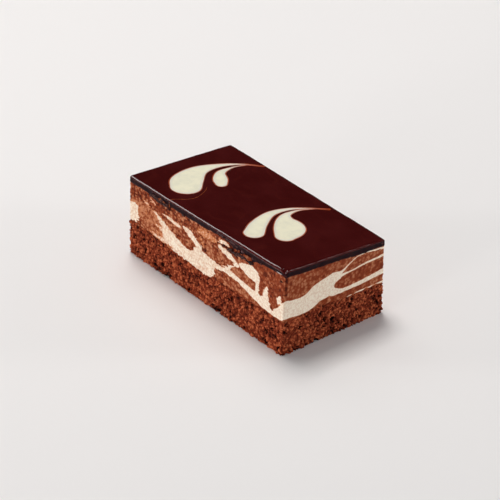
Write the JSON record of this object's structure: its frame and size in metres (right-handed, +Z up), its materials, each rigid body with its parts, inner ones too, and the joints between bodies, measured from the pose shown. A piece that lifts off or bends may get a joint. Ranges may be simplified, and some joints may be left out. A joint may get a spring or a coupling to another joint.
{
  "type": "chocolate mousse cake slice",
  "caption": "Rectangular cut piece of cake with a cocoa sponge base, a marbled mousse layer and a dark glossy glaze with two white feathered swirls.",
  "frame": {"origin": "middle of the flat base, on the surface the piece stands on", "axes": "+X along the long side, -Y is the long cut side that the picture shows, +X the short cut side that it shows, +Z up through the layers"},
  "size_m": [0.096, 0.05, 0.0366],
  "materials": {
    "cocoa_sponge": "open dry crumb with small dark pores",
    "marbled_mousse": "soft matte mousse, cream and milk chocolate marbled, cut by a knife",
    "dark_glaze": "mirror glaze, smooth and glossy",
    "white_chocolate": "satin, flush in the glaze"
  },
  "bodies": {
    "root": {"sponge_base": "cocoa_sponge", "marbled_mousse": "marbled_mousse", "chocolate_glaze": "dark_glaze", "swirl_left": "white_chocolate", "swirl_right": "white_chocolate"}
  },
  "joints": []
}
